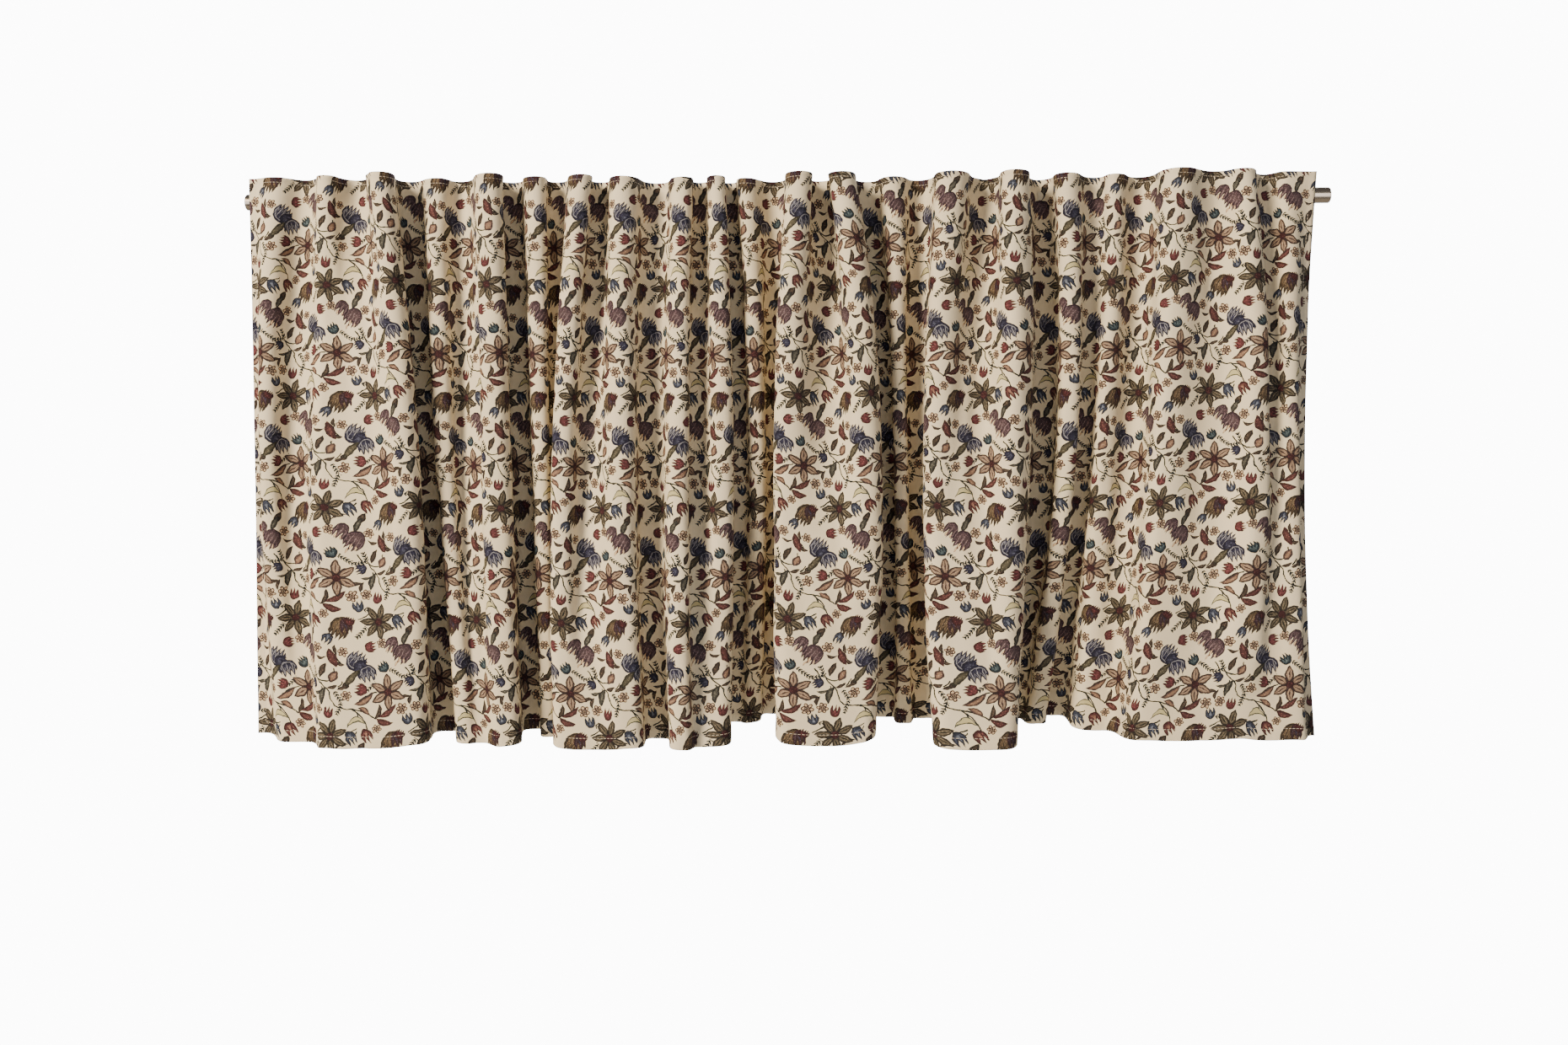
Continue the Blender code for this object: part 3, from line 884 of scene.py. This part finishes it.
THREAD_PITCH = 0.9 * MM  # twice that of the real weave, so that it shows
FLECK_SIZE = 2 / 3 * MM  # slubs of the yarn
STIPPLE_SIZE = 1.5625 * MM  # pale dots that show through dark ink
CLOUD_SIZE = 111.11 * MM  # soft patches in the cream
WANDER_SIZE, WANDER = 4.7619 * MM, 2.4 * MM  # unevenness of the ink's edges: its grain and reach


def printed_cotton(name, pattern, ink_share):
    """Plain-woven cotton with a block-printed flower pattern.

    It is matt, and slightly uneven where the cream clouds and the ink's edges wander.  Dark ink
    is stippled, and the weave and its slubs roughen the shine.  The reverse takes the same print
    with less of its ink.
    """
    made, tree, shader = new_material(name)
    shader.inputs["Roughness"].default_value = 0.88
    shader.inputs["IOR"].default_value = 1.5
    shader.inputs["Specular IOR Level"].default_value = 0.12

    flat_cloth = add(tree, "UVMap", (), uv_map="flat_cloth")
    edges = {"Vector": flat_cloth, "Scale": 1 / WANDER_SIZE, "Detail": 1.0}
    wander = add(tree, "TexNoise", edges, 1)
    centred = add(tree, "VectorMath", (wander, (0.5, 0.5, 0.5)), operation="SUBTRACT")
    uneven = add(tree, "VectorMath", {"Vector": centred, "Scale": WANDER}, operation="SCALE")
    drawn = add(tree, "VectorMath", (flat_cloth, uneven), operation="ADD")

    patches = {"Vector": flat_cloth, "Scale": 1 / CLOUD_SIZE, "Detail": 3.0}
    cloud = add(tree, "TexNoise", patches)
    pale, deep = linear(CREAM), linear(DEEP_CREAM)
    ground = add(tree, "Mix", {0: cloud, 6: pale, 7: deep}, 2, data_type="RGBA")
    inks = add(tree, "Group", {"Place": drawn, "Ground": ground}, node_tree=pattern)

    slubs = {"Vector": flat_cloth, "Scale": 1 / FLECK_SIZE, "Detail": 2.0}
    fleck = add(tree, "TexNoise", slubs)
    printed = add(tree, "Mix", {0: 1 - ink_share, 6: inks, 7: ground}, 2, data_type="RGBA")
    brightness = add(tree, "RGBToBW", (printed,))
    mottled = add(tree, "MapRange", {"Value": brightness, 1: 0.02, 2: 0.3, 3: 0.75, 4: 0.0})
    dots = add(tree, "TexVoronoi", {"Vector": flat_cloth, "Scale": 1 / STIPPLE_SIZE})
    stipple = add(tree, "MapRange", {"Value": dots, 1: 0.2, 2: 0.45, 3: 2.6, 4: 0.75})
    speckle = add(tree, "MapRange", {"Value": fleck, 1: 0.38, 2: 0.62, 3: 0.7, 4: 1.4})
    grain = add(tree, "Math", (speckle, stipple), operation="MULTIPLY")
    shaded = add(tree, "VectorMath", {"Vector": printed, "Scale": grain}, operation="SCALE")
    inked = add(tree, "Mix", {0: mottled, 6: printed, 7: shaded}, 2, data_type="RGBA")
    tree.links.new(inked, shader.inputs["Base Color"])

    threads = 2 * pi / THREAD_PITCH
    weave = add(tree, "VectorMath", {"Vector": flat_cloth, "Scale": threads}, operation="SCALE")
    apart = add(tree, "SeparateXYZ", (weave,))
    warp = add(tree, "Math", (apart,), operation="SINE")
    weft = add(tree, "Math", (apart.node.outputs[1],), operation="SINE")
    woven = add(tree, "Math", (warp, weft), operation="MULTIPLY")
    slub = add(tree, "Math", (fleck, 1.5, woven), operation="MULTIPLY_ADD")
    bump = {"Strength": 0.35, "Distance": 0.12 * MM, "Height": slub}
    tree.links.new(add(tree, "Bump", bump), shader.inputs["Normal"])
    return made


TAPE_RIB = 1.2 * MM
RIBS_A_TURN = 3  # half waves of rib before the slant turns back


def cotton_tape():
    """Herringbone cotton tape: undyed and matt, with fine ribs that slant both ways, and painted
    shade that darkens its colour in the grooves between the ribs.
    """
    made, tree, shader = new_material("herringbone_cotton_tape")
    shader.inputs["Roughness"].default_value = 0.9
    shader.inputs["Sheen Weight"].default_value = 0.15
    place = add(tree, "TexCoord", (), 3)
    ribs_at = {"Vector": place, "Scale": 2 * pi / TAPE_RIB}
    scaled = add(tree, "VectorMath", ribs_at, operation="SCALE")
    apart = add(tree, "SeparateXYZ", (scaled,))
    across = add(tree, "Math", (apart, RIBS_A_TURN * pi), operation="PINGPONG")
    slant = add(tree, "Math", (across, apart.node.outputs[2]), operation="ADD")
    ribs = add(tree, "Math", (slant,), operation="SINE")
    # Painted shade: the tape's colour is darker in the grooves between the ribs, where the bump
    # sinks, and lighter on their tops.
    painted_rib_shade = add(tree, "MapRange", {"Value": ribs, 1: -1.0, 2: 1.0, 3: 0.0, 4: 1.0})
    tones = {0: painted_rib_shade, 6: linear("#cfc2a8"), 7: linear("#e2d8c2")}
    tree.links.new(add(tree, "Mix", tones, 2, data_type="RGBA"), shader.inputs["Base Color"])
    bump = {"Strength": 0.5, "Distance": 0.2 * MM, "Height": ribs}
    tree.links.new(add(tree, "Bump", bump), shader.inputs["Normal"])
    return made


TWIST_SIZE = 2 / 3 * MM


def sewing_thread():
    """Spun polyester thread: pale, with a low sheen and a fine twist."""
    made, tree, shader = new_material("spun_sewing_thread")
    shader.inputs["Roughness"].default_value = 0.6
    shader.inputs["Sheen Weight"].default_value = 0.2
    place = add(tree, "TexCoord", (), 3)
    twist = add(tree, "TexNoise", {"Vector": place, "Scale": 1 / TWIST_SIZE, "Detail": 1.0})
    tones = {0: twist, 6: linear("#cbb9a4"), 7: linear("#ddcfbb")}
    tree.links.new(add(tree, "Mix", tones, 2, data_type="RGBA"), shader.inputs["Base Color"])
    return made


DRAWN_LINE = (1 / (166.67 * MM), 1 / (1.1111 * MM), 1 / (1.1111 * MM))  # length and width
PLATING_PATCH = 22.222 * MM


def rod_steel():
    """Drawn steel tube with a dark bronze plating: smooth, with faint lines along its length."""
    made, tree, shader = new_material("bronze_plated_steel")
    shader.inputs["Metallic"].default_value = 1.0
    place = add(tree, "TexCoord", (), 3)
    drawn = add(tree, "VectorMath", (place, DRAWN_LINE), operation="MULTIPLY")
    lines = add(tree, "TexNoise", {"Vector": drawn, "Scale": 1.0, "Detail": 3.0})
    plating = {"Vector": place, "Scale": 1 / PLATING_PATCH, "Detail": 3.0}
    patches = add(tree, "TexNoise", plating)
    tones = {0: patches, 6: linear("#6f655a"), 7: linear("#857a6d")}
    tree.links.new(add(tree, "Mix", tones, 2, data_type="RGBA"), shader.inputs["Base Color"])
    rough = add(tree, "MapRange", {"Value": lines, 1: 0.3, 2: 0.7, 3: 0.2, 4: 0.32})
    tree.links.new(rough, shader.inputs["Roughness"])
    bump = {"Strength": 0.15, "Distance": 0.02 * MM, "Height": lines}
    tree.links.new(add(tree, "Bump", bump), shader.inputs["Normal"])
    return made


# ---------------------------------------------------------------- camera, light and floor
CAMERA_AWAY = 1.25  # m from the rod
CAMERA_X = -0.0048
CAMERA_Z = -0.125
CAMERA_ROLL = -0.40  # degrees
PIXEL = 0.00084  # m of the rod's plane that one pixel of the photograph's width covers
FRAME_WIDTH, FRAME_HEIGHT = 1860, 1240  # pixels
ROD_ROW = 236  # the rod's row in that frame
FLOOR_BELOW = 2.1  # m, a usual height of a curtain rod above the floor
FLOOR_REACH = 1.9  # m to each side
LIGHTS_AIM = (0.0, 0.0, -0.25)
AMBIENT, BACKDROP = 0.36, 12.0  # strength of the surround as light, and as the camera sees it


def add_camera():
    """The photograph's camera: level, with its shift taken from the rod's row in the frame."""
    camera = bpy.data.cameras.new("photo_camera")
    holder = bpy.data.objects.new("photo_camera", camera)
    bpy.context.scene.collection.objects.link(holder)
    holder.location = (CAMERA_X, -CAMERA_AWAY, CAMERA_Z)
    holder.rotation_euler = (pi / 2, 0, 0)
    holder.rotation_euler.rotate_axis("Z", radians(CAMERA_ROLL))
    camera.sensor_width = 36
    camera.lens = camera.sensor_width / (FRAME_WIDTH * PIXEL) * CAMERA_AWAY
    horizon_row = ROD_ROW - CAMERA_Z / PIXEL
    camera.shift_y = -(FRAME_HEIGHT / 2 - horizon_row) / FRAME_WIDTH
    bpy.context.scene.camera = holder


def add_light(name, place, size, watts, colour, lights_cloth=True):
    """A round soft light; one that doesn't light the cloth only shines on metal."""
    lamp = bpy.data.lights.new(name, "AREA")
    lamp.shape = "DISK"
    lamp.size = size
    lamp.energy = watts
    lamp.color = linear(colour)[:3]
    holder = bpy.data.objects.new(name, lamp)
    bpy.context.scene.collection.objects.link(holder)
    holder.location = place
    holder.visible_diffuse = lights_cloth
    x, y, z = np.array(place) - np.array(LIGHTS_AIM)
    holder.rotation_euler = (atan2(hypot(x, y), z), 0.0, atan2(x, -y))


def add_studio():
    """Pale floor, an even surround that shows as white, and soft light from the upper left."""
    world = bpy.data.worlds.new("studio")
    world.use_nodes = True
    tree = world.node_tree
    seen = add(tree, "LightPath", ())
    strength = add(tree, "MapRange", {"Value": seen, 1: 0.0, 2: 1.0, 3: AMBIENT, 4: BACKDROP})
    background = tree.nodes["Background"]
    background.inputs["Color"].default_value = linear("#ffffff")
    tree.links.new(strength, background.inputs["Strength"])
    bpy.context.scene.world = world

    add_light("key", (-3.1, -3.1, 1.9), 1.6, 490.0, "#fff0d6")
    add_light("fill", (1.8, -4.2, 0.2), 2.0, 8.0, "#f6f8ff")
    add_light("back", (1.9, 3.4, 1.1), 2.0, 150.0, "#fffaf2")
    add_light("rod_shine_left", (-1.2, -2.1, -0.1), 1.9, 60.0, "#ffffff", False)
    add_light("rod_shine_right", (1.2, -2.1, -0.1), 1.9, 60.0, "#ffffff", False)

    reach = FLOOR_REACH
    corners = [(-reach, -reach, 0), (reach, -reach, 0), (reach, reach, 0), (-reach, reach, 0)]
    paint, _, shader = new_material("pale_painted_floor")
    shader.inputs["Base Color"].default_value = linear("#e9e6e0")
    shader.inputs["Roughness"].default_value = 0.8
    floor = new_object("pale_floor", corners, [(0, 1, 2, 3)], (paint,))
    floor.location.z = -FLOOR_BELOW


# ---------------------------------------------------------------- the dressed valance
def main():
    """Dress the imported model; the rod keeps its solid and takes the metal."""
    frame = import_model()
    add_camera()
    add_studio()

    pattern = flower_print()
    printed = printed_cotton("block_printed_cotton", pattern, 1.0)
    reverse = printed_cotton("block_printed_cotton_reverse", pattern, 0.55)
    thread = sewing_thread()
    tape = cotton_tape()

    cloth, surfaces = make_cloth(printed, reverse)
    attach(cloth, "root")
    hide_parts("valance_cloth")

    stitches = make_stitches(surfaces, thread)
    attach(stitches, "root")

    held = [fold[3] * MM for fold in FOLDS if fold[6] == 0]
    for number, valley_x in enumerate(held, start=1):
        tab = make_tab(number, valley_x, tape)
        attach(tab, "root")
        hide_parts(f"back_tab_{number:02d}")

    rod = frame["nodes"]["rod"]
    rod.data.materials.clear()
    rod.data.materials.append(rod_steel())


main()
